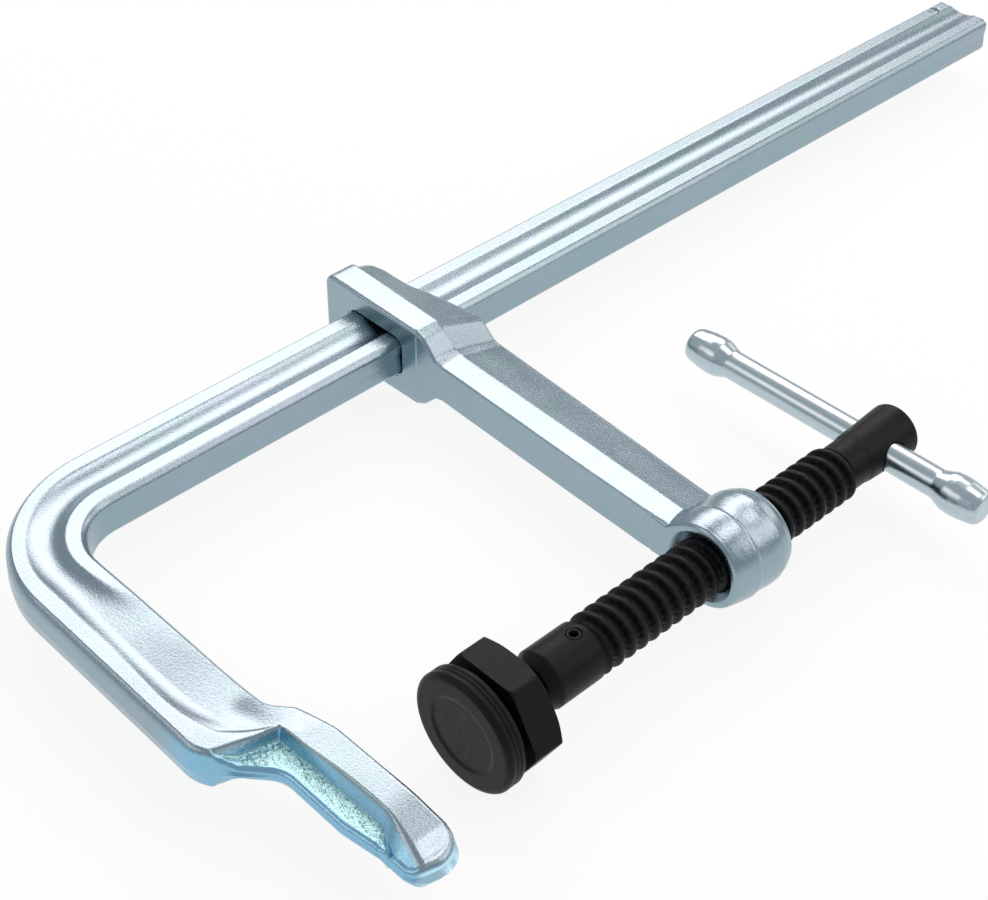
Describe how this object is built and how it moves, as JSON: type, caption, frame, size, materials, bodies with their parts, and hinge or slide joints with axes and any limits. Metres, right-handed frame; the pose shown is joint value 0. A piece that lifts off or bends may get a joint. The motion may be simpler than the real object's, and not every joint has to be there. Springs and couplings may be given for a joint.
{
  "type": "bar clamp",
  "caption": "All-steel bar clamp: forged fixed jaw on a profiled rail, a sliding arm, and a screw spindle with a swivel pressure plate and a sliding tommy bar.",
  "frame": {"origin": "centre of the fixed jaw's clamping face, on the spindle's axis", "axes": "+X along the arms, from the rail to the jaws; +Y along the rail, from the fixed jaw to the free end; +Z square to both arms, with Z = 0 the parting plane of the forgings"},
  "size_m": [0.275, 0.6256, 0.048],
  "materials": {
    "zinc_forged": "zinc-plated forged steel, satin with a fine grain",
    "zinc_bar": "zinc-plated drawn steel",
    "black_steel": "black oxide on steel, satin"
  },
  "bodies": {
    "frame": {"rail": "zinc_forged"},
    "arm": {"sliding_arm": "zinc_forged"},
    "stud": {"ball_stud": "black_steel"},
    "screw": {"spindle": "black_steel", "retaining_screw": "black_steel"},
    "swivel": {"pressure_plate": "black_steel", "swivel_nut": "black_steel"},
    "handle": {"tommy_bar": "zinc_bar"}
  },
  "joints": [
    {"name": "arm_slide", "type": "slide", "parent": "frame", "child": "arm", "axis": [0, 1, 0], "range_m": [-0.009, 0.38]},
    {"name": "spindle_feed", "type": "slide", "parent": "arm", "child": "stud", "axis": [0, 1, 0], "range_m": [-0.0191, 0.0601]},
    {"name": "spindle_turn", "type": "hinge", "parent": "stud", "child": "screw", "pos_m": [0, 0.079, 0], "axis": [0, 1, 0], "range_deg": [-1080, 3420]},
    {"name": "plate_tilt", "type": "hinge", "parent": "stud", "child": "swivel", "pos_m": [0, 0.047, 0], "axis": [1, 0, 0], "range_deg": [-15, 15]},
    {"name": "bar_slide", "type": "slide", "parent": "screw", "child": "handle", "axis": [1, 0, 0], "range_m": [-0.02, 0.061]}
  ],
  "couplings": [
    {"joint": "spindle_feed", "follows": "spindle_turn", "m_per_rad": 0.0010027}
  ]
}
